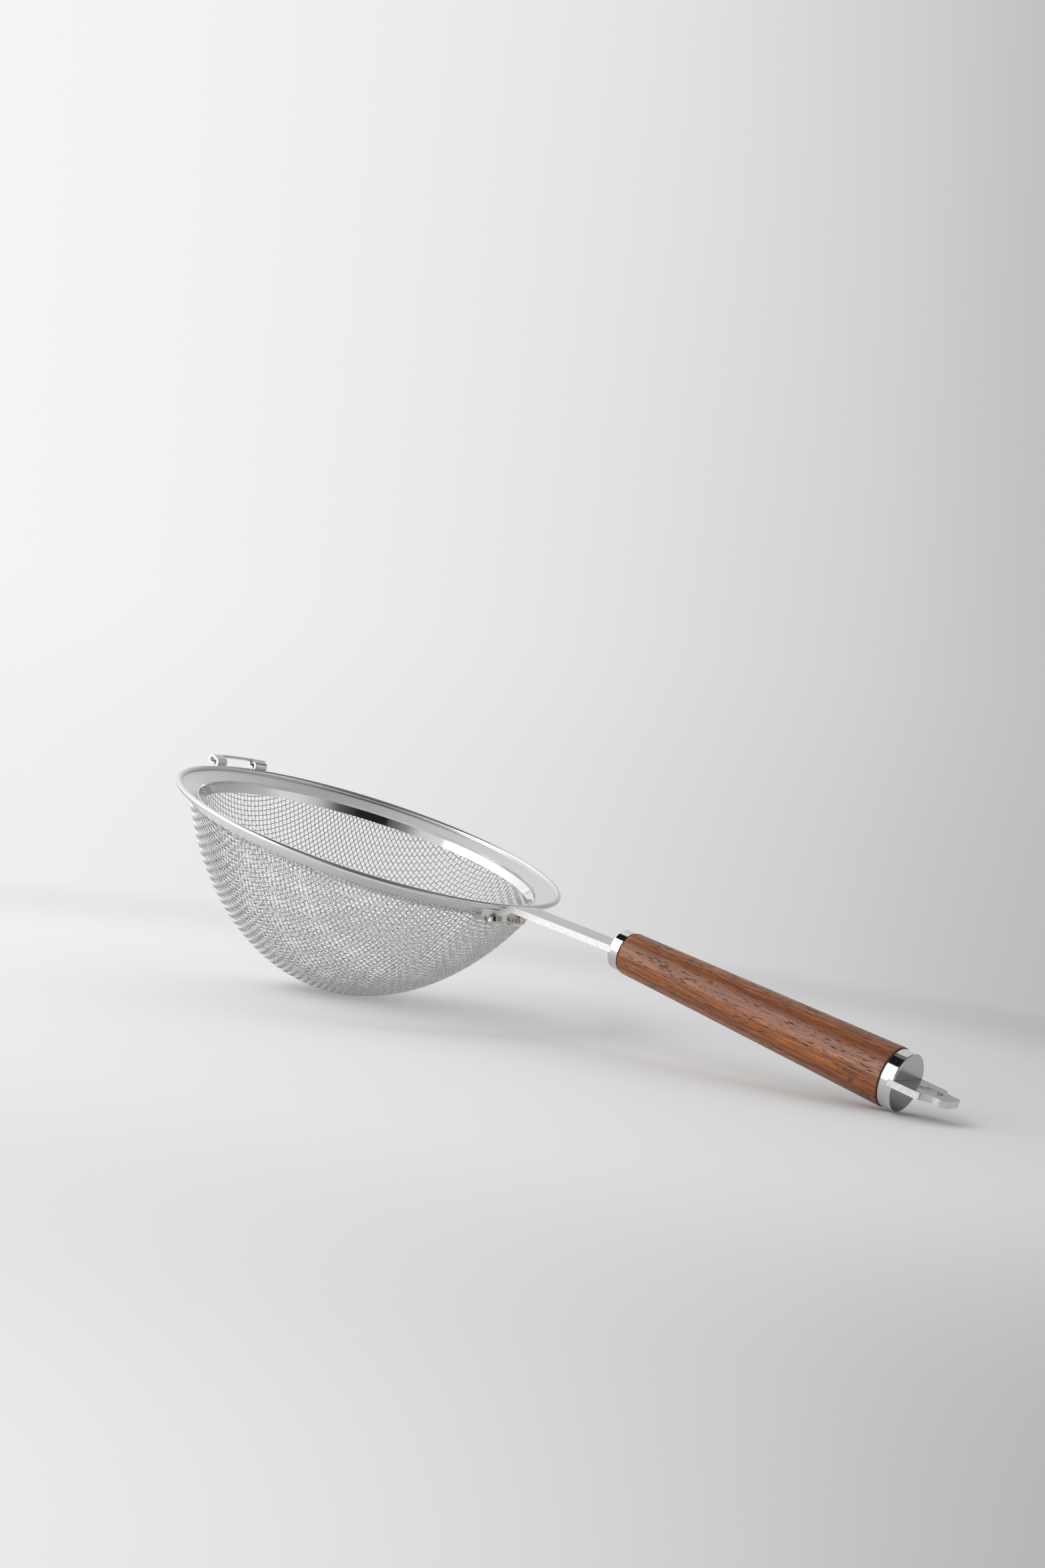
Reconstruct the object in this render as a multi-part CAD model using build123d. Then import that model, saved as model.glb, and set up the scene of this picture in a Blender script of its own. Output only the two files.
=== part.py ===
from build123d import *
from math import atan2, cos, degrees, radians, sin, sqrt, tan
import os

# A hand-held kitchen strainer, in millimetres. Every piece is drawn with the rim level, its centre
# at the origin and the handle along +X, and the whole strainer is then laid on its bowl and its end cap.

# ---- rim ----
rim_radius = 80.0          # outer edge of the bead
bead_radius = 1.2
sheet = 0.6                # thickness of flange, clamp ring and inner band
flange_angle = 20.0        # the flange rises outwards
flange_width = 9.4         # from the outside of the bead to the mouth of the bowl
clamp_angle = 36.0
clamp_drop = 0.5           # how far the clamp ring starts under the centre of the bead
band_height = 4.4
band_taper = 1.3           # how much narrower the band is at its foot
band_seat = 0.25           # how far the band stands above the flange's inner edge

# ---- woven bowl ----
bowl_depth = 64.2          # from the plane of the rim to the lowest wire
bowl_half_height = 120.8   # upright half axis of the ellipse that the wall follows
mouth_inset = 6.895        # from the outside of the bead to the bowl's wall under the fold
weave = 0.8                # thickness of the woven cloth
bowl_neck_drop = 5.2       # where the wall meets its folded edge
fold_inset = 4.8           # from the outside of the bead to the edge of the folded cloth
fold_gap = 0.03            # between the folded cloth and the inner edge of the clamp ring
clamp_gap = 0.6            # between the bowl's wall and the clamp ring

# ---- tang plate ----
plate = 2.4                # thickness of the tang plate and of the hanging eye
neck_level = 1.0           # height of the plate's middle where the neck begins
neck_angle = 4.2           # the neck rises outwards
neck_start = 6.0           # where the neck begins, outside the rim
shoulder_run = 0.5         # short straight end of the neck before the collar
head_gap = 0.1             # between the head of the plate and the inner edge of the clamp ring
arm_reach = 3.7            # width of the head's arms, measured outwards
arm_half_angle = 11.0
tang_width = 9.0
front_tang_length = 70.0

# ---- front rivets ----
rivet_gap = 0.1            # between a rivet's dome and the bead
rivet_half_spacing = 6.8
rivet_lean = 28.0
shank_radius = 1.8
dome_radius = 3.1
dome_height = 1.5
foot_radius = 3.3
foot_height = 2.3
foot_rounding = 0.9        # edge of the foot
rivet_clearance = 0.05

# ---- grip ----
neck_length = 49.8         # from the outside of the bead to the collar
grip_angle = 1.2           # the grip rises outwards
collar_radius = 7.5
collar_length = 4.3
grip_length = 114.2
wood_step = 0.35           # how far the wood stands out beyond each ferrule
gasket_thickness = 0.5
gasket_step = 0.1          # how far the gasket stands out beyond the end cap
cap_radius = 10.35
cap_length = 4.8
ferrule_skin = 1.6         # wall of the collar round the wood's front tenon
cap_skin = 2.15            # wall of the end cap round the rear tenon
fit = 0.05                 # clearance of every slot and socket in the handle
collar_rounding = 0.7
wood_front_rounding = 1.4
wood_back_rounding = 0.3
cap_rounding = 0.6

# ---- hanging eye ----
eye_step = 0.1             # how far the eye's edges stay inside the end cap
eye_shoulder = 10.0        # length of the full width behind the cap
eye_reach = 17.7           # tip of the eye behind the cap
eye_tip_width = 12.5
eye_tip_rounding = 2.5
eye_hole_radius = 4.1
eye_hole_reach = 8.9
eye_seat = 2.2             # depth of the notches in the cap
collar_seat = 1.0          # depth of the notches in the collar
notch_floor = 0.3          # metal left between a notch and the socket behind it
rear_tang_length = 32.0

# ---- rear hook ----
hook_sheet = 1.0
hook_width = 29.0
hook_leg_width = 6.0
hook_clearance = 0.1       # between the legs and the bead
hook_bend_radius = 1.2
hook_knee_height = 2.8     # where the legs bend outwards into the sloping top
hook_crest_height = 4.6
hook_reach = 4.37          # from the legs to the outer corner of the curl
hook_curl_height = 1.1     # lowest point of the curl, above the plane of the rim
hook_curl_length = 3.0     # how far the curl runs back towards the legs
hook_curl_radius = 1.3
hook_foot_inset = 4.8      # from the outside of the bead to the end of the feet
window_reach = 2.9         # how far the window runs out into the sloping top
rail_height = 2.9          # lower edge of the rail that joins the two arms of the hook
window_overcut = 0.3       # how far the window cuts beyond the outside of the curl
weld_inset = 1.6           # from the end of a foot to the middle of its weld
weld_radius = 1.1
weld_height = 0.35

bead_centre = rim_radius - bead_radius
flange_inner_radius = rim_radius - flange_width
fold_radius = rim_radius - fold_inset
rivet_radius = rim_radius - 2 * bead_radius - dome_radius - rivet_gap
hook_foot_radius = rim_radius - hook_foot_inset
grip_start = rim_radius + neck_length
neck_width = 2 * collar_radius
grip_front_radius = collar_radius + wood_step
grip_back_radius = cap_radius + wood_step
gasket_radius = cap_radius + gasket_step
tenon_radius = collar_radius - ferrule_skin
back_tenon_radius = cap_radius - cap_skin
eye_width = 2 * (cap_radius - eye_step)
flange_slope = tan(radians(flange_angle))
clamp_slope = tan(radians(clamp_angle))
bowl_centre = bowl_half_height - bowl_depth
collar_wall = collar_seat + notch_floor
cap_wall = eye_seat + notch_floor
mouth_share = (-bowl_neck_drop - bowl_centre) / bowl_half_height
bowl_half_width = (rim_radius - mouth_inset) / sqrt(1 - mouth_share * mouth_share)


def flange_top(radius):
    return -(bead_centre - radius) * flange_slope


def flange_under(radius):
    return flange_top(radius) - sheet / cos(radians(flange_angle))


def clamp_top(radius):
    return clamp_under(radius) + sheet / cos(radians(clamp_angle))


def clamp_under(radius):
    middle = -clamp_drop - (bead_centre - radius) * clamp_slope
    return middle - sheet / 2 / cos(radians(clamp_angle))


def bowl_radius(height, inset=0.0):
    """Radius of the bowl's wall at a height; inset 0 is the outside and weave the inside."""
    share = (height - bowl_centre) / (bowl_half_height - inset)
    return (bowl_half_width - inset) * sqrt(1 - share * share)


def turned(points, start=0.0, angle=360.0):
    """Closed outline in radius and height, turned about Z from a start angle."""
    outline = Plane.XZ * make_face(Polyline(*points, close=True))
    solid = revolve(outline, axis=Axis.Z, revolution_arc=angle)
    return Rot(0, 0, start) * solid


clamp_inner_radius = bowl_radius(-bowl_neck_drop) + clamp_gap
head_inner_radius = clamp_inner_radius + head_gap

# Cutting solids begin well inside the head of the plate and reach this far above and below the rim.
cut_start = head_inner_radius - 4 * plate
cut_reach = 20.0


def make_bead():
    return Torus(bead_centre, bead_radius)


def flange_blank():
    return turned([
        (flange_inner_radius, flange_under(flange_inner_radius)),
        (flange_inner_radius, flange_top(flange_inner_radius)),
        (bead_centre, flange_top(bead_centre)),
        (bead_centre, flange_under(bead_centre)),
    ])


def clamp_blank():
    return turned([
        (clamp_inner_radius, clamp_under(clamp_inner_radius)),
        (clamp_inner_radius, clamp_top(clamp_inner_radius)),
        (bead_centre, clamp_top(bead_centre)),
        (bead_centre, clamp_under(bead_centre)),
    ])


def rivet_placing(side):
    """Frame of one rivet: its origin is on the flange and its Z points away from the flange."""
    angle = side * degrees(rivet_half_spacing / rivet_radius)
    seat = Location((rivet_radius, 0, flange_top(rivet_radius)), (0, -rivet_lean, 0))
    return Rot(0, 0, angle) * seat


def rivet_holes():
    holes = []
    for side in (-1, 1):
        hole = Cylinder(shank_radius + rivet_clearance, cut_reach)
        holes.append(rivet_placing(side) * hole)
    return holes


def make_flange():
    return flange_blank() - make_bead() - rivet_holes()


def make_clamp_ring():
    return clamp_blank() - make_bead() - flange_blank() - rivet_holes()


def make_inner_band():
    seat_height = flange_top(flange_inner_radius) + band_seat
    knee_height = flange_under(flange_inner_radius) - band_seat
    foot = flange_inner_radius - band_taper
    foot_height_here = seat_height - band_height
    return turned([
        (flange_inner_radius, seat_height),
        (flange_inner_radius, knee_height),
        (foot, foot_height_here),
        (foot - sheet, foot_height_here),
        (flange_inner_radius - sheet, knee_height),
        (flange_inner_radius - sheet, seat_height),
    ])


def bowl_shell():
    """The woven wall as one thin dome, from its lowest point up to the fold."""
    edges = []
    for inset in (0.0, weave):
        half_width = bowl_half_width - inset
        half_height = bowl_half_height - inset
        share = (-bowl_neck_drop - bowl_centre) / half_height
        end = degrees(atan2(share, sqrt(1 - share * share)))
        place = (0, bowl_centre)
        edges.append(EllipticalCenterArc(place, half_width, half_height, -90, arc_size=end + 90))
    outer, inner = edges
    foot = Line(outer @ 0, inner @ 0)
    top = Line(outer @ 1, inner @ 1)
    section = Plane.XZ * make_face([outer, inner, foot, top])
    return revolve(section, axis=Axis.Z)


def bowl_fold():
    """The edge of the cloth, gripped between the flange and the clamp ring."""
    inner_top = bowl_radius(-bowl_neck_drop, weave)
    lip = clamp_inner_radius - fold_gap
    lip_height = clamp_top(clamp_inner_radius) + fold_gap
    return turned([
        (inner_top, -bowl_neck_drop),
        (inner_top, flange_under(inner_top)),
        (fold_radius, flange_under(fold_radius)),
        (fold_radius, clamp_top(fold_radius)),
        (clamp_inner_radius, clamp_top(clamp_inner_radius)),
        (lip, lip_height),
        (bowl_radius(-bowl_neck_drop), -bowl_neck_drop),
    ])


def make_bowl():
    return bowl_shell() + (bowl_fold() - rivet_holes())


def neck_top(x):
    return neck_level + plate / 2 + (x - rim_radius - neck_start) * tan(radians(neck_angle))


def bend_place():
    """Where the sloping head meets the neck, on the upper face."""
    rise = tan(radians(neck_angle))
    level = neck_top(0) - clamp_under(0)
    return level / (clamp_slope - rise)


grip_height = neck_top(grip_start) - plate / 2
grip_placing = Location((grip_start, 0, grip_height), (0, -grip_angle, 0))


def side_plate(points, width):
    """A plate's side outline in X and Z, given a width across Y."""
    face = Plane.XZ * make_face(Polyline(*points, close=True))
    return extrude(face, width / 2, both=True)


def make_neck():
    """The flat plate from under the rim to the collar, drawn from the side."""
    bend = bend_place()
    lean = tan(radians((clamp_angle + neck_angle) / 2))
    depth = plate / cos(radians(clamp_angle))
    neck_depth = plate / cos(radians(neck_angle))
    lower_bend = bend + plate * lean
    end = grip_start - shoulder_run
    start = head_inner_radius
    return side_plate([
        (start, clamp_under(start) - depth),
        (start, clamp_under(start)),
        (bend, clamp_under(bend)),
        (end, neck_top(end)),
        (end, neck_top(end) - neck_depth),
        (lower_bend, neck_top(lower_bend) - neck_depth),
    ], neck_width)


def make_arms():
    """The two arms of the head, bent to the cone of the clamp ring."""
    depth = plate / cos(radians(clamp_angle))
    inner = head_inner_radius
    outer = head_inner_radius + arm_reach
    return turned([
        (inner, clamp_under(inner) - depth),
        (inner, clamp_under(inner)),
        (outer, clamp_under(outer)),
        (outer, clamp_under(outer) - depth),
    ], -arm_half_angle, 2 * arm_half_angle)


def head_relief():
    """Everything above the clamp ring's underside, so that the flat neck stays below the cone."""
    return turned([
        (cut_start, clamp_under(cut_start)),
        (cut_start, cut_reach),
        (bead_centre, cut_reach),
        (bead_centre, clamp_under(bead_centre)),
    ])


def handle_box(width, length, start, gap=0.0):
    """A flat bar along the handle, as thick as the plate, from a start."""
    box = Box(length, width + 2 * gap, plate + 2 * gap, align=(Align.MIN, Align.CENTER, Align.CENTER))
    return Pos(start, 0, 0) * box


def make_tang_plate():
    shoulder = handle_box(neck_width, collar_seat + 2 * shoulder_run, -2 * shoulder_run)
    tang = handle_box(tang_width, front_tang_length, 0)
    body = (make_neck() - head_relief()) + make_arms() + grip_placing * (shoulder + tang)
    return body - make_bead() - rivet_holes()


def rivet_stack():
    """Length of a rivet between the top of the flange and the underside of the head."""
    lean = radians(rivet_lean)
    depth = plate / cos(radians(clamp_angle))
    gap = flange_top(rivet_radius) - clamp_under(rivet_radius) + depth
    return gap / (cos(lean) + clamp_slope * sin(lean))


def head_wedge(flat):
    """All that lies above the underside of the head, as a cone or as a flat slope."""
    depth = plate / cos(radians(clamp_angle))
    far = rim_radius + neck_start
    points = [
        (cut_start, clamp_under(cut_start) - depth),
        (cut_start, clamp_under(cut_start) + depth),
        (far, clamp_under(far) + depth),
        (far, clamp_under(far) - depth),
    ]
    return side_plate(points, neck_width) if flat else turned(points)


def make_rivets():
    below_flange = turned([
        (cut_start, -cut_reach),
        (cut_start, flange_top(cut_start)),
        (bead_centre, flange_top(bead_centre)),
        (bead_centre, -cut_reach),
    ])
    crown = dome_radius * dome_radius / (2 * dome_height) + dome_height / 2
    stack = rivet_stack()
    head = make_tang_plate()
    rivets = []
    for side in (-1, 1):
        placing = rivet_placing(side)
        dome = Pos(0, 0, dome_height - crown) * Sphere(crown)
        dome = dome & Cylinder(dome_radius, 2 * (dome_height + sheet))
        foot_length = foot_height + plate
        foot = Pos(0, 0, plate - stack - foot_length / 2) * Cylinder(foot_radius, foot_length)
        foot = fillet(foot.edges().group_by(Axis.Z)[0], foot_rounding)
        shank = Pos(0, 0, -stack / 2) * Cylinder(shank_radius, stack + sheet)
        upper = (placing * dome) - below_flange
        lower = (placing * foot) - head_wedge(False) - head_wedge(True) - head
        rivets.append(upper + placing * shank + lower)
    return rivets


def slot(width, length, start):
    """The space that a flat bar of this width takes in the handle, with its clearance."""
    return handle_box(width, length, start, fit)


def along(radius, length, start):
    """A round bar along the handle."""
    bar = Cylinder(radius, length, align=(Align.CENTER, Align.CENTER, Align.MIN))
    return Pos(start, 0, 0) * Rot(0, 90, 0) * bar


def make_collar():
    body = along(collar_radius, collar_length, 0)
    body = fillet(body.edges().group_by(Axis.X)[0], collar_rounding)
    socket = along(tenon_radius + fit, collar_length, collar_wall)
    opening = slot(tang_width, collar_length, -1)
    notch = slot(2 * collar_radius + 2, 1 + collar_seat, -1)
    return grip_placing * (body - socket - opening - notch)


def make_grip():
    start = collar_length
    end = collar_length + grip_length
    outline = Plane.XY * make_face(Polyline(
        (start, 0), (start, grip_front_radius), (end, grip_back_radius), (end, 0), close=True))
    body = revolve(outline, axis=Axis.X)
    body = fillet(body.edges().group_by(Axis.X)[0], wood_front_rounding)
    body = fillet(body.edges().group_by(Axis.X)[-1], wood_back_rounding)
    front_tenon = along(tenon_radius, collar_length - collar_wall, collar_wall)
    rear_length = gasket_thickness + cap_length - cap_wall
    far_end = end + rear_length - rear_tang_length
    rear_tenon = along(back_tenon_radius, rear_length, end)
    front_slot = slot(tang_width, front_tang_length + fit, 0)
    rear_slot = slot(tang_width, 2 * rear_tang_length, far_end)
    return grip_placing * (body + front_tenon + rear_tenon - front_slot - rear_slot)


def make_gasket():
    start = collar_length + grip_length
    ring = along(gasket_radius, gasket_thickness, start)
    return grip_placing * (ring - along(back_tenon_radius + fit, gasket_thickness, start))


def cap_start():
    return collar_length + grip_length + gasket_thickness


def make_cap():
    start = cap_start()
    body = along(cap_radius, cap_length, start)
    body = fillet(body.edges().group_by(Axis.X)[-1], cap_rounding)
    socket = along(back_tenon_radius + fit, cap_length - cap_wall, start)
    opening = slot(tang_width, cap_length, start)
    notch = slot(2 * cap_radius + 2, eye_seat + 1, start + cap_length - eye_seat)
    return grip_placing * (body - socket - opening - notch)


def make_eye():
    face = cap_start() + cap_length
    half = eye_width / 2
    tip_half = eye_tip_width / 2
    tip = face + eye_reach
    shoulder = face + eye_shoulder
    drop = half - tip_half
    waist = shoulder + drop
    corner_x = tip - eye_tip_rounding
    corner_y = tip_half - eye_tip_rounding
    outline = []
    outline.append(Line((face - eye_seat, -half), (face - eye_seat, half)))
    outline.append(Line((face - eye_seat, half), (shoulder, half)))
    outline.append(CenterArc((waist, half), drop, 180, 90))
    outline.append(Line((waist, tip_half), (corner_x, tip_half)))
    outline.append(CenterArc((corner_x, corner_y), eye_tip_rounding, 0, 90))
    outline.append(Line((tip, corner_y), (tip, -corner_y)))
    outline.append(CenterArc((corner_x, -corner_y), eye_tip_rounding, 270, 90))
    outline.append(Line((corner_x, -tip_half), (waist, -tip_half)))
    outline.append(CenterArc((waist, -half), drop, 90, 90))
    outline.append(Line((shoulder, -half), (face - eye_seat, -half)))
    tab = extrude(make_face(outline), plate / 2, both=True)
    tab -= Pos(face + eye_hole_reach, 0, 0) * Cylinder(eye_hole_radius, plate * 2)
    stem_length = rear_tang_length + notch_floor
    stem = handle_box(tang_width, stem_length, face - cap_wall - rear_tang_length + fit)
    return grip_placing * (tab + stem)


def hook_angle(width):
    return degrees(width / rim_radius)


def make_hook():
    inner_face = rim_radius + hook_clearance
    leg = inner_face + hook_sheet / 2
    half = hook_sheet / 2 / cos(radians(clamp_angle))
    foot_line = [clamp_under(hook_foot_radius) - half, clamp_under(leg) - half]
    corner = (leg, foot_line[1])
    foot_end = (hook_foot_radius, foot_line[0])
    far = leg + hook_reach
    knee = (leg, hook_knee_height)
    crest = (far, hook_crest_height)
    curl = (far, hook_curl_height)
    curl_end = (far - hook_curl_length, hook_curl_height)
    bends = [hook_bend_radius, hook_bend_radius, hook_curl_radius, hook_curl_radius]
    path = FilletPolyline(foot_end, corner, knee, crest, curl, curl_end, radius=bends)
    strip = trace(path, line_width=hook_sheet)
    angle = hook_angle(hook_width)
    body = revolve(Plane.XZ * strip, axis=Axis.Z, revolution_arc=angle)
    gap = hook_angle(hook_width - 2 * hook_leg_width)
    outside = far + hook_sheet / 2 + window_overcut
    window = turned([
        (cut_start, -cut_reach),
        (cut_start, cut_reach),
        (leg + window_reach, cut_reach),
        (leg + window_reach, rail_height),
        (outside, rail_height),
        (outside, -cut_reach),
    ], (angle - gap) / 2, gap)
    body = Rot(0, 0, 180 - angle / 2) * (body - window)
    return body - make_bead()


def make_welds():
    """One raised spot weld under each foot of the hook."""
    welds = []
    middle = degrees((hook_width - hook_leg_width) / 2 / rim_radius)
    depth = hook_sheet / cos(radians(clamp_angle))
    radius = hook_foot_radius + weld_inset
    for side in (-1, 1):
        height = clamp_under(radius) - depth
        seat = Location((radius, 0, height), (0, -clamp_angle, 0))
        bump = Cylinder(weld_radius, weld_height, align=(Align.CENTER, Align.CENTER, Align.MAX))
        welds.append(Rot(0, 0, 180 + side * middle) * seat * bump)
    return welds


def lying_angle():
    """Tilt about Y at which the bowl and the lower edge of the end cap stand on one level floor."""
    cap_face = cap_start() + cap_length
    low = (grip_placing * Pos(cap_face, 0, -cap_radius)).position
    tilt_low, tilt_high = 0.0, 40.0
    while tilt_high - tilt_low > 1e-6:
        tilt = (tilt_low + tilt_high) / 2
        across = bowl_half_width * sin(radians(tilt))
        upright = bowl_half_height * cos(radians(tilt))
        bowl_foot = bowl_centre * cos(radians(tilt)) - sqrt(across * across + upright * upright)
        cap_foot = low.Z * cos(radians(tilt)) - low.X * sin(radians(tilt))
        if cap_foot > bowl_foot:
            tilt_low = tilt
        else:
            tilt_high = tilt
    return tilt


def build():
    return {
        "edge_bead": make_bead(),
        "rim_flange": make_flange(),
        "clamp_ring": make_clamp_ring(),
        "inner_band": make_inner_band(),
        "sieve_bowl": make_bowl(),
        "tang_plate": make_tang_plate(),
        "front_rivets": Compound(children=make_rivets()),
        "collar": make_collar(),
        "wood_grip": make_grip(),
        "cap_gasket": make_gasket(),
        "end_cap": make_cap(),
        "hanging_eye": make_eye(),
        "rear_hook": make_hook(),
        "hook_welds": Compound(children=make_welds()),
    }


os.makedirs("parts", exist_ok=True)
pieces = build()
lying = Rot(0, lying_angle(), 0)
laid = {name: lying * piece for name, piece in pieces.items()}
boxes = [piece.bounding_box() for piece in laid.values()]
middle_x = (min(box.min.X for box in boxes) + max(box.max.X for box in boxes)) / 2
floor = min(box.min.Z for box in boxes)
for name, piece in laid.items():
    export_step(Pos(-middle_x, 0, -floor) * piece, "parts/" + name + ".step")
print("tilt", round(lying_angle(), 3), "shift", round(-middle_x, 3), round(-floor, 3))
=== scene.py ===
import math

import bpy
import numpy as np
from mathutils import Matrix, Vector


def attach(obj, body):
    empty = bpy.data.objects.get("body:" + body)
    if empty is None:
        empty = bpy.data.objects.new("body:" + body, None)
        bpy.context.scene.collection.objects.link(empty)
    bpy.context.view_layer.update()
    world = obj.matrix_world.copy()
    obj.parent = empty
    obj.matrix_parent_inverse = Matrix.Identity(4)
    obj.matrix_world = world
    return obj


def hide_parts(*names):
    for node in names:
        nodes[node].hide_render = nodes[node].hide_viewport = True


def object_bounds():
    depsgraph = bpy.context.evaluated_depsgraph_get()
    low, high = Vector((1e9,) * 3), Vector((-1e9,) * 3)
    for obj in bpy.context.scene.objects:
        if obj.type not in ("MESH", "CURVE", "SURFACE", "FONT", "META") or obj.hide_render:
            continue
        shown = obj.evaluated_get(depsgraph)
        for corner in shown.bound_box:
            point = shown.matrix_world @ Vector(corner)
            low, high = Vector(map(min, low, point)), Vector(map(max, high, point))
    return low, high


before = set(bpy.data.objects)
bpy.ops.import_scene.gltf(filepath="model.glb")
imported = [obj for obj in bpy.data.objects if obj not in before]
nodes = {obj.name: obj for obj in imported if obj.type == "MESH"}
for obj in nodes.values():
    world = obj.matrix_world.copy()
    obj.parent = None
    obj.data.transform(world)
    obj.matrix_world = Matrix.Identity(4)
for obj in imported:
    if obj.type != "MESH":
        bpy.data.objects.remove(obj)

cad_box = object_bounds()
rng = np.random.default_rng(7)

# ---------------------------------------------------------------- places
# Millimetres of the design frame: rim level, its centre at the origin, handle along +X.
# "lay" takes the design frame to the row frame.
TILT = math.radians(13.827)
RIM_PLACE = (-0.09155, 0.0, 0.064089)     # the rim's centre in the row frame, metres
lay = Matrix.Translation(RIM_PLACE) @ Matrix.Rotation(TILT, 4, "Y") @ Matrix.Scale(0.001, 4)

BOWL_HALF_WIDTH = 85.1      # the outside of the cloth is part of an ellipsoid
BOWL_HALF_HEIGHT = 120.8
BOWL_CENTRE = 56.6          # height of the ellipsoid's centre
WALL_END = -5.2             # height where the wall turns outwards into the fold
FOLD_RADIUS = 75.1          # where the folded edge of the cloth ends
FOLD_HEIGHT = -2.36
FOLD_SLOPE = 0.55
GRIP_START = (129.8, 0.0, 4.217)
GRIP_RISE = math.radians(1.2)

# ---------------------------------------------------------------- camera
FORWARD = Vector((-0.61164, 0.79113, 0.00203))
LEVEL_RIGHT = Vector((0.79113, 0.61164, 0.0))
LEVEL_FORWARD = Vector((-0.61164, 0.79113, 0.0))
CAMERA_PLACE = (0.48665, -0.65369, 0.09043)
CAMERA_ROLL = math.radians(7.343)
CAMERA_LENS = 50.05


def make_camera():
    data = bpy.data.cameras.new("photo_camera")
    data.lens = CAMERA_LENS
    camera = bpy.data.objects.new("photo_camera", data)
    bpy.context.scene.collection.objects.link(camera)
    level_up = LEVEL_RIGHT.cross(FORWARD).normalized()
    right = LEVEL_RIGHT * math.cos(CAMERA_ROLL) + level_up * math.sin(CAMERA_ROLL)
    up = right.cross(FORWARD).normalized()
    turn = Matrix((right, up, -FORWARD)).transposed()
    camera.matrix_world = Matrix.Translation(CAMERA_PLACE) @ turn.to_4x4()
    bpy.context.scene.camera = camera


# ---------------------------------------------------------------- node helpers
class Tree:
    """A small writer of shader nodes: each call makes a node and returns it."""

    def __init__(self, owner):
        owner.use_nodes = True
        self.tree = owner.node_tree
        self.tree.nodes.clear()

    def new(self, kind, **settings):
        node = self.tree.nodes.new("ShaderNode" + kind)
        inputs = settings.pop("inputs", {})
        for name, value in settings.items():
            setattr(node, name, value)
        for name, value in inputs.items():
            self.put(node, name, value)
        return node

    def put(self, node, name, value):
        socket = node.inputs[name]
        if isinstance(value, bpy.types.NodeSocket):
            self.tree.links.new(value, socket)
        else:
            socket.default_value = value

    def math(self, operation, *values):
        node = self.new("Math", operation=operation)
        for place, value in enumerate(values):
            self.put(node, place, value)
        return node.outputs[0]

    def dot(self, vector, direction):
        node = self.new("VectorMath", operation="DOT_PRODUCT")
        self.put(node, 0, vector)
        self.put(node, 1, direction)
        return node.outputs["Value"]

    def ramp(self, factor, stops, interpolation="LINEAR"):
        """stops: (place, grey or (r, g, b))"""
        node = self.new("ValToRGB")
        node.color_ramp.interpolation = interpolation
        elements = node.color_ramp.elements
        while len(elements) > 1:
            elements.remove(elements[-1])
        for place, (at, colour) in enumerate(stops):
            element = elements[0] if place == 0 else elements.new(at)
            element.position = at
            colour = colour if isinstance(colour, tuple) else (colour,) * 3
            element.color = (*colour, 1.0)
        self.put(node, "Fac", factor)
        return node.outputs["Color"]

    def curve(self, value, low, high, stops):
        """A number from straight runs between stops, which are (input, number) pairs."""
        top = max(max(level for _, level in stops), 1e-6)
        share = self.span(value, low, high)
        width = high - low
        grey = self.ramp(share, [((at - low) / width, level / top) for at, level in stops])
        return self.math("MULTIPLY", grey, top)

    def span(self, value, low, high, smooth=False, out=(0.0, 1.0)):
        node = self.new("MapRange", interpolation_type="SMOOTHSTEP" if smooth else "LINEAR")
        self.put(node, "Value", value)
        self.put(node, "From Min", low)
        self.put(node, "From Max", high)
        self.put(node, "To Min", out[0])
        self.put(node, "To Max", out[1])
        return node.outputs["Result"]

    def mix(self, factor, first, second, blend="MIX"):
        node = self.new("Mix", data_type="RGBA", blend_type=blend)
        self.put(node, 0, factor)
        self.put(node, 6, first)
        self.put(node, 7, second)
        return node.outputs[2]

    def noise(self, vector, scale, detail=2.0, roughness=0.5):
        node = self.new("TexNoise")
        self.put(node, "Vector", vector)
        self.put(node, "Scale", scale)
        self.put(node, "Detail", detail)
        self.put(node, "Roughness", roughness)
        return node.outputs["Fac"]


def rgb(red, green, blue):
    """Linear colour from the usual 0 to 255 values."""
    out = []
    for value in (red, green, blue):
        value /= 255.0
        out.append(value / 12.92 if value <= 0.04045 else ((value + 0.055) / 1.055) ** 2.4)
    return tuple(out)


def design_coordinates(tree, frame_matrix):
    """Millimetres in the frame that frame_matrix takes to the row frame."""
    place = tree.new("TexCoord").outputs["Object"]
    inverse = frame_matrix.inverted()
    turn = inverse.to_3x3()
    parts = []
    for row in range(3):
        dot = tree.dot(place, tuple(turn[row]))
        parts.append(tree.math("ADD", dot, inverse.translation[row]))
    return parts


def joined(tree, x, y, z):
    node = tree.new("CombineXYZ")
    tree.put(node, 0, x)
    tree.put(node, 1, y)
    tree.put(node, 2, z)
    return node.outputs[0]


# ---------------------------------------------------------------- studio
MATT_FILL = 1.05


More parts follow.
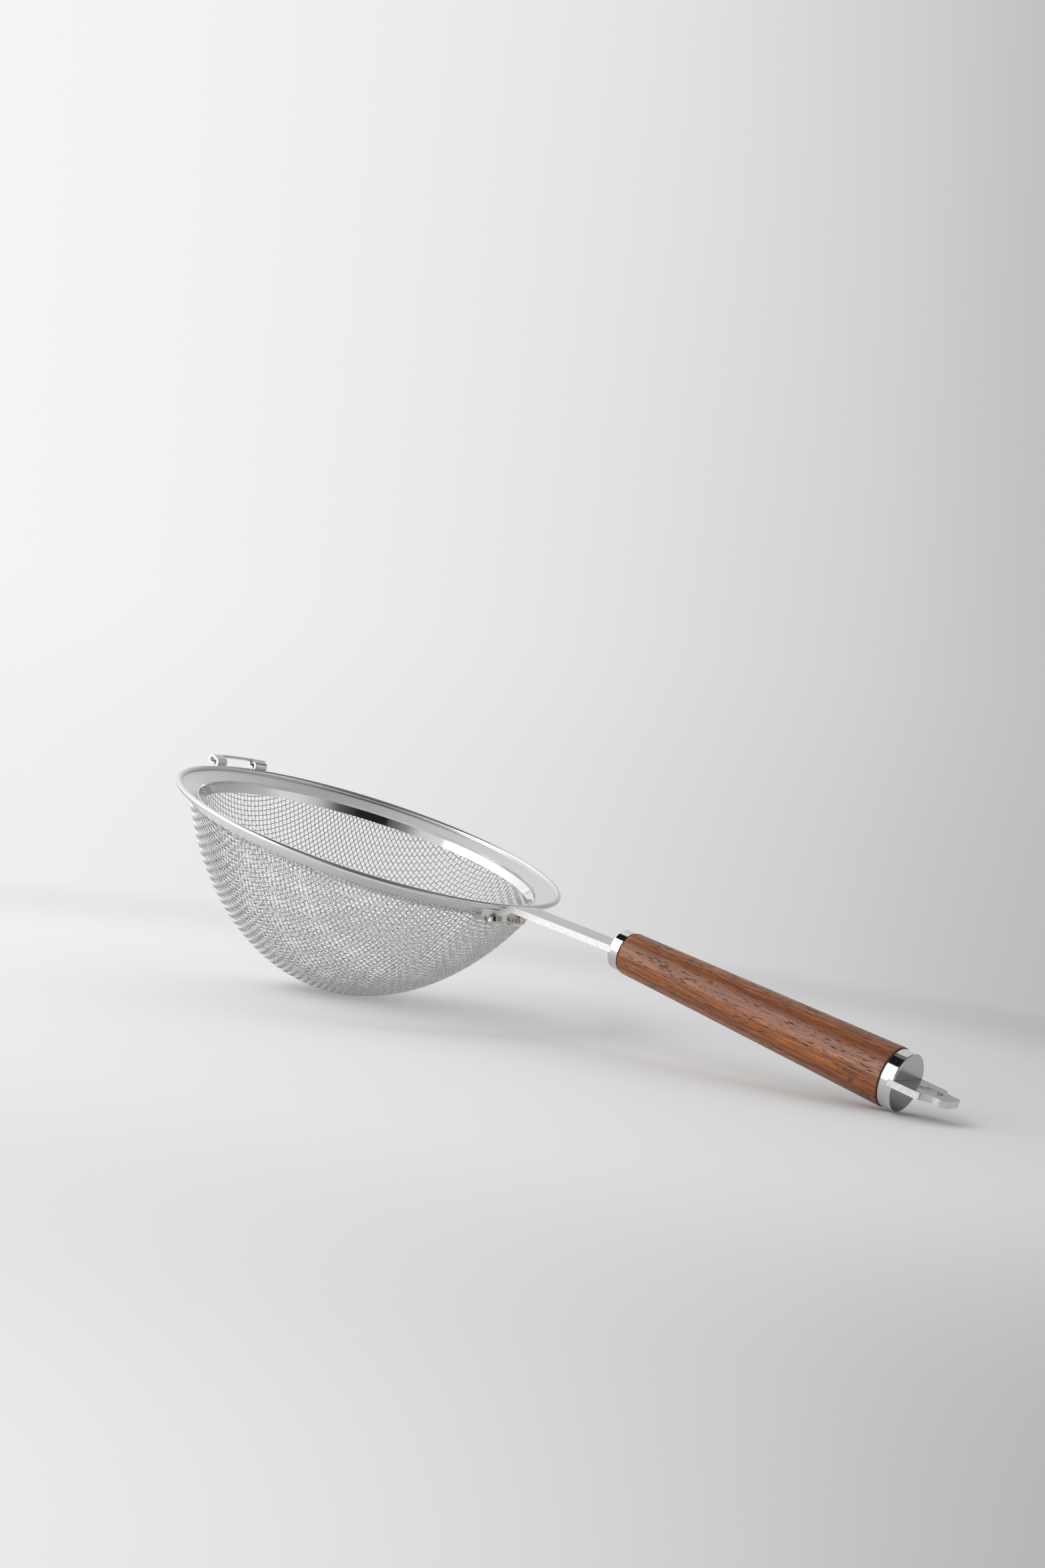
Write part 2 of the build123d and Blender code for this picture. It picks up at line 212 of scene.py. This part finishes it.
def make_world():
    world = bpy.data.worlds.new("studio")
    bpy.context.scene.world = world
    tree = Tree(world)
    direction = tree.new("TexCoord").outputs["Generated"]
    across = tree.dot(direction, tuple(LEVEL_RIGHT))
    ahead = tree.dot(direction, tuple(LEVEL_FORWARD))
    rise = tree.dot(direction, (0.0, 0.0, 1.0))
    azimuth = tree.math("MULTIPLY", tree.math("ARCTAN2", across, ahead), 180 / math.pi)
    elevation = tree.math("MULTIPLY", tree.math("ARCSINE", rise), 180 / math.pi)
    path = tree.new("LightPath")

    # What the metal sees: a white window on the left, a pale backdrop, a grey right side, a dark room.
    level = tree.curve(azimuth, -180, 180, [
        (-180, 0.10), (-166, 0.32), (-155, 0.80), (-138, 0.90), (-130, 2.6), (-102, 2.6), (-92, 1.6),
        (-58, 1.24), (-42, 1.12), (-26, 1.0), (-12, 0.86), (4, 0.72), (24, 0.56), (44, 0.42), (66, 0.48),
        (92, 0.60), (106, 0.88), (120, 0.82), (134, 0.58), (146, 0.13), (160, 0.02), (180, 0.02)])
    top = tree.curve(azimuth, -180, 180, [
        (-180, 30), (-140, 36), (-118, 52), (-90, 55), (-60, 60), (-30, 69), (10, 66), (36, 44),
        (80, 32), (120, 26), (180, 28)])
    below_top = tree.span(tree.math("SUBTRACT", elevation, top), -3.0, 3.0, True, (1.0, 0.0))
    above = tree.math("MULTIPLY", level, below_top)
    # the dim ceiling over the right side and the camera; above the window it is black
    ceiling = tree.curve(azimuth, -180, 180, [
        (-180, 0.17), (-148, 0.17), (-132, 0.012), (-50, 0.012), (-34, 0.17), (180, 0.17)])
    over_top = tree.math("SUBTRACT", 1.0, below_top)
    above = tree.math("ADD", above, tree.math("MULTIPLY", ceiling, over_top))
    ground = tree.curve(azimuth, -180, 180, [
        (-180, 0.50), (-120, 1.05), (-80, 0.85), (-40, 0.55), (10, 0.48), (60, 0.34), (120, 0.38),
        (180, 0.50)])
    ground = tree.math("MULTIPLY", ground, tree.span(elevation, -70, -5, True, (0.62, 1.0)))
    is_above = tree.span(elevation, -1.5, 0.5, True)
    seen = tree.mix(is_above, ground, above)
    # matt surfaces get about twice the light that the metal's reflections show
    fill = tree.math("ADD", 1.0, tree.math("MULTIPLY", path.outputs["Is Diffuse Ray"], MATT_FILL))
    light = tree.new("Background", inputs={"Color": seen, "Strength": fill})

    # What the camera sees behind the object: pale grey, lighter on the left.
    wide = tree.ramp(tree.span(across, -0.30, 0.30), [
        (0.0, rgb(247, 247, 248)), (0.10, rgb(245, 245, 246)), (0.28, rgb(241, 241, 242)),
        (0.52, rgb(229, 229, 230)), (0.74, rgb(209, 209, 210)), (0.90, rgb(190, 190, 191)),
        (1.0, rgb(184, 184, 186))], "B_SPLINE")
    # a shallow dip in brightness where the paper turns from wall to table, strongest in the middle
    low_side = tree.ramp(tree.span(elevation, -20, 4), [
        (0.0, 0.92), (0.22, 0.94), (0.45, 0.955), (0.62, 0.94), (0.84, 0.96), (1.0, 1.0)], "B_SPLINE")
    corner = tree.math("ADD", tree.math("MULTIPLY", elevation, 0.01), across)
    upper_right = tree.span(corner, 0.2, 0.5, True, (1.0, 0.86))
    seen_wide = tree.mix(1.0, tree.mix(1.0, wide, low_side, "MULTIPLY"), upper_right, "MULTIPLY")
    backdrop = tree.new("Background", inputs={"Color": seen_wide, "Strength": 1.0})
    chosen = tree.new("MixShader")
    tree.put(chosen, 0, path.outputs["Is Camera Ray"])
    tree.put(chosen, 1, light.outputs[0])
    tree.put(chosen, 2, backdrop.outputs[0])
    out = tree.new("OutputWorld")
    tree.put(out, "Surface", chosen.outputs[0])


FLOOR_RADIUS = 0.60
FLOOR_SIDES = 96
FLOOR_FADE = (0.24, 0.58)       # from solid to clear, metres from the middle
FLOOR_GAP = 0.0001              # below the lowest point, so that the two don't share a plane


def make_floor():
    """A pale floor that fades into the backdrop all round the object, its colour painted lighter on the
    left and darker on the right as painted light.
    """
    low, high = cad_box
    middle = (low + high) / 2
    points = [(0.0, 0.0, 0.0)]
    for k in range(FLOOR_SIDES):
        angle = 2 * math.pi * k / FLOOR_SIDES
        points.append((FLOOR_RADIUS * math.cos(angle), FLOOR_RADIUS * math.sin(angle), 0.0))
    faces = [(0, k + 1, (k + 1) % FLOOR_SIDES + 1) for k in range(FLOOR_SIDES)]
    mesh = bpy.data.meshes.new("floor")
    mesh.from_pydata(points, [], faces)
    floor = bpy.data.objects.new("floor", mesh)
    floor.location = (middle.x, middle.y, low.z - FLOOR_GAP)
    bpy.context.scene.collection.objects.link(floor)
    material = bpy.data.materials.new("floor_paper")
    tree = Tree(material)
    place = tree.new("TexCoord").outputs["Object"]
    across = tree.dot(place, tuple(LEVEL_RIGHT))
    # painted light: the floor's colour runs from lighter on the left to darker on the right, the window
    # light's falloff painted in
    colour = tree.ramp(tree.span(across, -0.30, 0.30), [
        (0.0, 1.0), (0.17, 0.94), (0.5, 0.80), (0.83, 0.64), (1.0, 0.56)])
    grain = tree.noise(place, 900.0, 2.0)
    bump = tree.new("Bump", inputs={"Strength": 0.05, "Distance": 0.0002, "Height": grain})
    paper = tree.new("BsdfDiffuse", inputs={"Color": colour, "Normal": bump.outputs[0]})
    clear = tree.new("BsdfTransparent")
    away = tree.new("VectorMath", operation="LENGTH")
    tree.put(away, 0, place)
    fade = tree.span(away.outputs["Value"], *FLOOR_FADE, True)
    chosen = tree.new("MixShader")
    tree.put(chosen, 0, fade)
    tree.put(chosen, 1, paper.outputs[0])
    tree.put(chosen, 2, clear.outputs[0])
    out = tree.new("OutputMaterial")
    tree.put(out, "Surface", chosen.outputs[0])
    floor.data.materials.append(material)


# ---------------------------------------------------------------- materials
def finish_material(tree, **inputs):
    shader = tree.new("BsdfPrincipled", inputs=inputs)
    out = tree.new("OutputMaterial")
    tree.put(out, "Surface", shader.outputs[0])


def tinted(colour, share):
    """The colour times share, with full alpha."""
    return (*[value * share for value in colour], 1.0)


def metal(tree, tint, rough, strength, distance, height):
    """The last nodes of every steel: tint, roughness and a fine bump."""
    bumped = tree.new("Bump", inputs={"Strength": strength, "Distance": distance, "Height": height})
    finish_material(tree, **{
        "Base Color": tint, "Metallic": 1.0, "Roughness": rough, "Normal": bumped.outputs[0]})


def steel(name, colour, roughness, spread, grain, bump):
    """Metal with a fine even grain, grain per millimetre."""
    material = bpy.data.materials.new(name)
    tree = Tree(material)
    place = joined(tree, *design_coordinates(tree, lay))
    fine = tree.noise(place, grain, 3.0, 0.6)
    cloudy = tree.noise(place, grain * 0.06, 2.0)
    rough = tree.span(fine, 0.3, 0.7, False, (roughness - spread, roughness + spread))
    rough = tree.math("ADD", rough, tree.span(cloudy, 0.3, 0.7, True, (-spread * 0.6, spread * 0.6)))
    tint = tree.mix(cloudy, tinted(colour, 0.93), tinted(colour, 1.0))
    metal(tree, tint, rough, bump, 0.00002, fine)
    return material


def ring_steel(name, colour, roughness, spread, pitch, bump):
    """Spun metal: fine rings about the rim's axis."""
    material = bpy.data.materials.new(name)
    tree = Tree(material)
    x, y, z = design_coordinates(tree, lay)
    radius = tree.math("SQRT", tree.math("ADD", tree.math("MULTIPLY", x, x),
                                         tree.math("MULTIPLY", y, y)))
    angle = tree.math("ARCTAN2", y, x)
    place = joined(tree, radius, tree.math("MULTIPLY", angle, 2.0), z)
    rings = tree.noise(place, pitch, 3.0, 0.65)
    cloudy = tree.noise(joined(tree, x, y, z), 0.05, 3.0)
    rough = tree.span(rings, 0.3, 0.7, False, (roughness - spread, roughness + spread))
    rough = tree.math("ADD", rough, tree.span(cloudy, 0.3, 0.7, True, (-spread * 0.5, spread * 0.5)))
    tint = tree.mix(rings, tinted(colour, 0.94), tinted(colour, 1.0))
    metal(tree, tint, rough, bump, 0.00002, rings)
    return material


def cut_plate_steel(name, centre, colour, edge_colour, roughness):
    """Rolled plate: smooth greyish faces, and cut edges that are brighter and rougher."""
    material = bpy.data.materials.new(name)
    tree = Tree(material)
    x, y, z = design_coordinates(tree, centre)
    normal = tree.new("NewGeometry").outputs["True Normal"]
    flat_up = Vector(centre.to_3x3().col[2]).normalized()
    facing = tree.math("ABSOLUTE", tree.dot(normal, tuple(flat_up)))
    edge = tree.span(facing, 0.35, 0.75, True, (1.0, 0.0))
    brushed = tree.noise(joined(tree, tree.math("MULTIPLY", x, 0.05), y, z), 7.0, 3.0, 0.6)
    torn_place = joined(tree, tree.math("MULTIPLY", x, 2.2), y, tree.math("MULTIPLY", z, 0.6))
    torn = tree.noise(torn_place, 1.1, 4.0, 0.7)
    cloudy = tree.noise(joined(tree, x, y, z), 0.12, 3.0)
    face = tree.mix(cloudy, tinted(colour, 0.86), tinted(colour, 1.0))
    rag = tree.span(torn, 0.35, 0.65, True)
    cut = tree.mix(rag, tinted(edge_colour, 0.84), tinted(edge_colour, 1.0))
    tint = tree.mix(edge, face, cut)
    rough_face = tree.span(brushed, 0.3, 0.7, False, (roughness - 0.04, roughness + 0.05))
    rough_cut = tree.span(torn, 0.3, 0.7, False, (0.20, 0.32))
    rough = tree.math("ADD", tree.math("MULTIPLY", rough_cut, edge),
                      tree.math("MULTIPLY", rough_face, tree.math("SUBTRACT", 1.0, edge)))
    height = tree.math("ADD", tree.math("MULTIPLY", torn, edge), tree.math("MULTIPLY", brushed, 0.05))
    metal(tree, tint, rough, 0.14, 0.0002, height)
    return material


def capped_steel():
    """The end cap: a mirror-like band and a fine satin face, whose darker tint, darkest towards the
    bottom, is a painted reflection of the shaded floor.
    """
    material = bpy.data.materials.new("end_cap_steel")
    tree = Tree(material)
    x, y, z = design_coordinates(tree, grip_frame())
    normal = tree.new("NewGeometry").outputs["True Normal"]
    along = Vector(grip_frame().to_3x3().col[0]).normalized()
    face = tree.span(tree.dot(normal, tuple(along)), 0.75, 0.97, True)
    fine = tree.noise(joined(tree, x, y, z), 6.0, 3.0, 0.6)
    cloudy = tree.noise(joined(tree, x, y, z), 0.3, 2.0)
    # painted reflection: the face's tint is dark and darkest towards the bottom, standing in for the
    # shaded floor it reflects
    painted_reflection_share = tree.span(z, -9.0, 9.0, True, (0.0, 1.0))
    painted_reflection_face_tint = tree.mix(painted_reflection_share, (0.26, 0.26, 0.265, 1.0), (0.50, 0.505, 0.515, 1.0))
    tint = tree.mix(face, (0.78, 0.78, 0.785, 1.0), painted_reflection_face_tint)
    rough = tree.span(fine, 0.3, 0.7, False, (0.05, 0.10))
    rough = tree.math("ADD", rough, tree.math("MULTIPLY", face, 0.12))
    rough = tree.math("ADD", rough, tree.span(cloudy, 0.3, 0.7, True, (-0.02, 0.02)))
    metal(tree, tint, rough, 0.05, 0.00002, fine)
    return material


def grip_frame():
    return lay @ Matrix.Translation(GRIP_START) @ Matrix.Rotation(-GRIP_RISE, 4, "Y")


def walnut():
    material = bpy.data.materials.new("walnut")
    tree = Tree(material)
    x, y, z = design_coordinates(tree, grip_frame())
    slow_x = tree.math("MULTIPLY", x, 0.045)
    place = joined(tree, slow_x, y, z)
    # growth rings: long flames along the grip, from a plank cut off centre
    wander = tree.noise(place, 0.22, 2.0, 0.5)
    off_y = tree.math("ADD", y, tree.span(wander, 0.2, 0.8, False, (-5.0, 5.0)))
    off_z = tree.math("ADD", z, 17.0)
    ring = tree.math("SQRT", tree.math("ADD", tree.math("MULTIPLY", off_y, off_y),
                                       tree.math("MULTIPLY", off_z, off_z)))
    ring = tree.math("ADD", ring, tree.span(tree.noise(place, 0.9, 3.0), 0.2, 0.8, False, (-0.7, 0.7)))
    growth = tree.math("FRACT", tree.math("MULTIPLY", ring, 0.36))
    late = tree.ramp(growth, [(0.0, 0.15), (0.45, 0.3), (0.85, 0.75), (0.95, 1.0), (1.0, 0.15)])
    streak = tree.noise(place, 1.7, 5.0, 0.65)
    base = tree.ramp(streak, [
        (0.28, rgb(68, 31, 9)), (0.42, rgb(120, 64, 24)), (0.53, rgb(155, 88, 37)),
        (0.68, rgb(190, 117, 56))])
    banded = tree.mix(tree.math("MULTIPLY", late, 0.50), base, (*rgb(78, 35, 10), 1.0))
    patch = tree.noise(joined(tree, tree.math("MULTIPLY", x, 0.03), y, z), 0.16, 2.0)
    banded = tree.mix(tree.span(patch, 0.42, 0.62, True, (0.0, 0.5)), banded, (*rgb(108, 53, 17), 1.0))
    # pores: short dark dashes along the grain
    fine_place = joined(tree, tree.math("MULTIPLY", x, 0.16), y, z)
    dash = tree.new("TexVoronoi", feature="F1")
    tree.put(dash, "Vector", fine_place)
    tree.put(dash, "Scale", 1.25)
    tree.put(dash, "Randomness", 1.0)
    dash_depth = tree.span(dash.outputs["Distance"], 0.16, 0.34, True, (1.0, 0.0))
    tick = tree.new("TexVoronoi", feature="F1")
    tree.put(tick, "Vector", joined(tree, tree.math("MULTIPLY", x, 0.18), y, z))
    tree.put(tick, "Scale", 2.4)
    tick_depth = tree.span(tick.outputs["Distance"], 0.08, 0.28, True, (0.8, 0.0))
    pores = tree.math("MAXIMUM", dash_depth, tick_depth)
    gate = tree.span(tree.noise(place, 0.9, 3.0), 0.38, 0.50, True)
    pores = tree.math("MULTIPLY", pores, gate)
    colour = tree.mix(tree.math("MULTIPLY", pores, 0.9), banded, (*rgb(40, 18, 12), 1.0))
    rough = tree.span(streak, 0.3, 0.7, False, (0.36, 0.30))
    rough = tree.math("ADD", rough, tree.math("MULTIPLY", pores, 0.3))
    height = tree.math("SUBTRACT", tree.math("MULTIPLY", streak, 0.25), pores)
    bumped = tree.new("Bump", inputs={"Strength": 0.6, "Distance": 0.00015, "Height": height})
    finish_material(tree, **{
        "Base Color": colour, "Roughness": rough, "IOR": 1.5, "Specular IOR Level": 0.6,
        "Normal": bumped.outputs[0]})
    return material


def gasket():
    material = bpy.data.materials.new("gasket")
    tree = Tree(material)
    place = tree.new("TexCoord").outputs["Object"]
    grain = tree.noise(place, 2500.0, 3.0)
    colour = tree.mix(grain, (*rgb(30, 22, 20), 1.0), (*rgb(52, 38, 33), 1.0))
    bumped = tree.new("Bump", inputs={"Strength": 0.3, "Distance": 0.00005, "Height": grain})
    finish_material(tree, **{
        "Base Color": colour, "Roughness": tree.span(grain, 0.3, 0.7, False, (0.5, 0.7)),
        "Normal": bumped.outputs[0]})
    return material


def dress(name, material):
    data = nodes[name].data
    if not data.materials:
        data.materials.append(material)
    for place in range(len(data.materials)):
        data.materials[place] = material


# ---------------------------------------------------------------- woven bowl
PITCH = 2.08
JITTER = 0.022          # how uneven the wires' spacing is, as a share of the pitch
CROSSINGS = 64          # from the lowest point to the end of the net, past the rim
WIRE = 0.205          # radius
CRIMP = 0.26          # how far a wire swings to each side of the middle of the cloth
SIDES = 6
STEPS = 4             # points along a wire from one crossing to the next
WEAVE_TURN = math.radians(180.0)


def wall_height(radius):
    """Height of the middle of the cloth at a radius: an ellipse, then the fold under the rim."""
    a = BOWL_HALF_WIDTH - WIRE - CRIMP
    b = BOWL_HALF_HEIGHT - WIRE - CRIMP
    end = a * math.sqrt(1 - ((WALL_END - BOWL_CENTRE) / b) ** 2)
    inside = np.minimum(radius, end) / a
    ellipse = BOWL_CENTRE - b * np.sqrt(1 - inside ** 2)
    slope_end = (b / a) * (end / a) / math.sqrt(1 - (end / a) ** 2)
    width = FOLD_RADIUS - end
    share = np.clip((radius - end) / width, 0, 1)
    rise = FOLD_HEIGHT - WALL_END
    fold = ((share ** 3 - 2 * share ** 2 + share) * width * slope_end
            + (3 * share ** 2 - 2 * share ** 3) * rise
            + (share ** 3 - share ** 2) * width * FOLD_SLOPE)
    beyond = np.maximum(radius - FOLD_RADIUS, 0) * FOLD_SLOPE
    return np.where(radius <= end, ellipse, WALL_END + fold + beyond)


def on_wall(flat):
    radius = np.hypot(flat[..., 0], flat[..., 1])
    return np.concatenate([flat, wall_height(radius)[..., None]], -1)


def step_away(start, other, guess, reach_start, reach_other):
    """Points on the wall at set distances from two neighbours, by Newton's method."""
    flat = guess.copy()
    for _ in range(9):
        here = on_wall(flat)
        miss_a = ((here - start) ** 2).sum(-1) - reach_start ** 2
        miss_b = ((here - other) ** 2).sum(-1) - reach_other ** 2
        tiny = 1e-4
        columns = []
        for axis in range(2):
            moved = flat.copy()
            moved[..., axis] += tiny
            there = on_wall(moved)
            columns.append((
                (((there - start) ** 2).sum(-1) - reach_start ** 2 - miss_a) / tiny,
                (((there - other) ** 2).sum(-1) - reach_other ** 2 - miss_b) / tiny))
        (ax, bx), (ay, by) = columns
        det = ax * by - ay * bx
        det = np.where(np.abs(det) < 1e-9, 1e-9, det)
        move = np.stack([(miss_a * by - ay * miss_b) / det, (ax * miss_b - bx * miss_a) / det], -1)
        size = np.linalg.norm(move, axis=-1, keepdims=True)
        flat = flat - move * np.minimum(1, 1.2 / np.maximum(size, 1e-9))
    return flat


def spine(steps, across):
    """The wire through the lowest point of the bowl, one crossing after another."""
    flat = np.zeros((len(steps) + 1, 2))
    for k, length in enumerate(steps):
        radius = np.linalg.norm(flat[k])
        move = length
        for _ in range(12):
            rise = wall_height(np.array(radius + move)) - wall_height(np.array(radius))
            move *= length / math.hypot(move, float(rise))
        flat[k + 1, across] = radius + move
    return flat


def quarter(steps_u, steps_v):
    """Crossings in one quarter of the cloth, whose threads keep their lengths on the bowl."""
    count_u, count_v = len(steps_u) + 1, len(steps_v) + 1
    net = np.full((count_u, count_v, 2), np.nan)
    net[:, 0] = spine(steps_u, 0)
    net[0, :] = spine(steps_v, 1)
    for total in range(2, count_u + count_v - 1):
        i = np.arange(max(1, total - count_v + 1), min(count_u, total))
        j = total - i
        left, below, corner = net[i - 1, j], net[i, j - 1], net[i - 1, j - 1]
        good = np.isfinite(left + below + corner).all(-1)
        good &= np.hypot(*(left + below - corner).T) < FOLD_RADIUS + 6
        if not good.any():
            continue
        i, j, left, below, corner = i[good], j[good], left[good], below[good], corner[good]
        net[i, j] = step_away(
            on_wall(left), on_wall(below), left + below - corner, steps_u[i - 1], steps_v[j - 1])
    return net


def weave_net():
    """All crossings: net[i, j] with the lowest point in the middle."""
    steps = {side: PITCH * (1 + JITTER * rng.standard_normal(CROSSINGS))
             for side in ("+u", "-u", "+v", "-v")}
    net = np.full((2 * CROSSINGS + 1, 2 * CROSSINGS + 1, 2), np.nan)
    for sign_u, name_u in ((1, "+u"), (-1, "-u")):
        for sign_v, name_v in ((1, "+v"), (-1, "-v")):
            part = quarter(steps[name_u], steps[name_v]) * (sign_u, sign_v)
            rows = CROSSINGS + sign_u * np.arange(CROSSINGS + 1)
            cols = CROSSINGS + sign_v * np.arange(CROSSINGS + 1)
            net[np.ix_(rows, cols)] = part
    return net


def wire_lines(net, swap):
    """Centre lines of one family of wires, with their crimp, and the wall's normals along them."""
    if swap:
        net = net.transpose(1, 0, 2)
    cos, sin = math.cos(WEAVE_TURN), math.sin(WEAVE_TURN)
    turn = np.array([[cos, sin], [-sin, cos]])
    lines = []
    for row in range(net.shape[0]):
        good = np.isfinite(net[row]).all(-1)
        if good.sum() < 6:
            continue
        cols = np.nonzero(good)[0]
        cols = np.arange(cols[0], cols[-1] + 1)
        if not good[cols].all():
            continue
        flat = net[row, cols]
        # fill in between crossings with a smooth line
        dense = np.arange(0, len(flat) - 1 + 1e-9, 1 / STEPS)
        whole = np.minimum(dense.astype(int), len(flat) - 2)
        part = (dense - whole)[:, None]
        before = flat[np.maximum(whole - 1, 0)]
        first, second = flat[whole], flat[whole + 1]
        after = flat[np.minimum(whole + 2, len(flat) - 1)]
        line = 0.5 * (2 * first + (second - before) * part
                      + (2 * before - 5 * first + 4 * second - after) * part ** 2
                      + (3 * first - before - 3 * second + after) * part ** 3)
        radius = np.hypot(*line.T)
        keep = radius < FOLD_RADIUS
        if keep.sum() < 8:
            continue
        line, dense, radius = line[keep], dense[keep], radius[keep]
        slope = (wall_height(radius + 0.01) - wall_height(radius - 0.01)) / 0.02
        unit = line / radius.clip(1e-6)[:, None]
        outward = np.stack([unit[:, 0] * slope, unit[:, 1] * slope, -np.ones(len(line))], -1)
        outward /= np.linalg.norm(outward, axis=1, keepdims=True)
        phase = (dense + cols[0] + row + (1 if swap else 0)) * math.pi
        crimp = np.cos(phase) * CRIMP
        points = on_wall(line) + outward * crimp[:, None]
        points[:, :2] = points[:, :2] @ turn
        outward[:, :2] = outward[:, :2] @ turn
        lines.append((points, outward))
    return lines


def make_tubes(name, lines, radius, sides):
    """One mesh of round wires along the lines, closed at both ends, with a map of one strip per wire."""
    longest = max(len(points) for points, _ in lines)
    verts, loops, starts, uvs = [], [], [], []
    vert_count = loop_count = 0
    for place, (points, normals) in enumerate(lines):
        count = len(points)
        along = np.gradient(points, axis=0)
        along /= np.linalg.norm(along, axis=1, keepdims=True)
        side = np.cross(along, normals)
        side /= np.linalg.norm(side, axis=1, keepdims=True)
        up = np.cross(side, along)
        angles = 2 * np.pi * np.arange(sides) / sides
        ring = (np.cos(angles)[None, :, None] * side[:, None, :]
                + np.sin(angles)[None, :, None] * up[:, None, :])
        verts.append((points[:, None, :] + radius * ring).reshape(-1, 3))
        k, s = np.meshgrid(np.arange(count - 1), np.arange(sides), indexing="ij")
        t = (s + 1) % sides
        quads = np.stack([k * sides + s, (k + 1) * sides + s, (k + 1) * sides + t, k * sides + t], -1)
        quads = quads.reshape(-1, 4) + vert_count
        loops.append(quads.ravel())
        starts.append(loop_count + 4 * np.arange(len(quads)))
        u = np.stack([k, k + 1, k + 1, k], -1) / longest * 0.998 + 0.001
        v = np.stack([s, s, s + 1, s + 1], -1) / sides * 0.9 + 0.05
        uvs.append(np.stack([u, (place + v) / len(lines)], -1).reshape(-1, 2))
        loop_count += 4 * len(quads)
        for cap in (np.arange(sides), (count - 1) * sides + np.arange(sides)[::-1]):
            loops.append(cap + vert_count)
            starts.append(np.array([loop_count]))
            spot = [0.0005 + (count - 1) / longest, (place + 0.5) / len(lines)]
            uvs.append(np.tile([spot], (sides, 1)))
            loop_count += sides
        vert_count += count * sides
    verts = np.concatenate(verts)
    loops = np.concatenate(loops).astype(np.int32)
    starts = np.concatenate(starts).astype(np.int32)
    to_row = np.array(lay)
    verts = verts @ to_row[:3, :3].T + to_row[:3, 3]
    mesh = bpy.data.meshes.new(name)
    mesh.vertices.add(len(verts))
    mesh.vertices.foreach_set("co", verts.astype(np.float32).ravel())
    mesh.loops.add(len(loops))
    mesh.loops.foreach_set("vertex_index", loops)
    mesh.polygons.add(len(starts))
    mesh.polygons.foreach_set("loop_start", starts)
    mesh.polygons.foreach_set("use_smooth", np.ones(len(starts), bool))
    layer = mesh.uv_layers.new(name="OFBake")
    layer.data.foreach_set("uv", np.concatenate(uvs).astype(np.float32).ravel())
    mesh.update(calc_edges=True)
    mesh.validate()
    piece = bpy.data.objects.new(name, mesh)
    bpy.context.scene.collection.objects.link(piece)
    return piece


def make_weave(material):
    net = weave_net()
    for name, swap in (("bowl_warp_wires", False), ("bowl_weft_wires", True)):
        piece = make_tubes(name, wire_lines(net, swap), WIRE, SIDES)
        piece.data.materials.append(material)
        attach(piece, "root")
    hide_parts("sieve_bowl")
    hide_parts("sieve_bowl")


# ---------------------------------------------------------------- the whole scene
bpy.context.scene.view_settings.view_transform = "Standard"
make_camera()
make_world()
make_floor()

polished = steel("polished_steel", (0.78, 0.775, 0.77), 0.07, 0.025, 3.0, 0.04)
polished_rim = ring_steel("bead_steel", (0.76, 0.762, 0.77), 0.24, 0.015, 4.0, 0.015)
mirror_band = ring_steel("mirror_band_steel", (0.76, 0.755, 0.75), 0.07, 0.02, 3.0, 0.04)
satin_rim = ring_steel("satin_rim_steel", (0.78, 0.78, 0.782), 0.24, 0.012, 6.0, 0.015)
front_plate = cut_plate_steel("front_plate_steel", lay, (0.54, 0.54, 0.545), (0.78, 0.78, 0.775), 0.16)
rear_plate = cut_plate_steel(
    "rear_plate_steel", grip_frame(), (0.30, 0.31, 0.335), (0.72, 0.73, 0.75), 0.14)
hook_plate = steel("hook_steel", (0.80, 0.80, 0.80), 0.24, 0.03, 4.0, 0.03)
wire_steel = steel("drawn_wire_steel", (0.67, 0.67, 0.67), 0.12, 0.04, 2.5, 0.05)

dress("edge_bead", polished_rim)
dress("rim_flange", satin_rim)
dress("clamp_ring", satin_rim)
dress("inner_band", mirror_band)
dress("tang_plate", front_plate)
# painted reflection: the rivets' warm brownish tint stands in for brownish reflections in the shiny
# steel
dress("front_rivets", steel("rivet_steel_painted_brown_reflection", (0.62, 0.58, 0.52), 0.14, 0.04, 3.0, 0.04))
dress("collar", polished)
dress("end_cap", capped_steel())
dress("hanging_eye", rear_plate)
dress("rear_hook", hook_plate)
dress("hook_welds", hook_plate)
dress("wood_grip", walnut())
dress("cap_gasket", gasket())
make_weave(wire_steel)
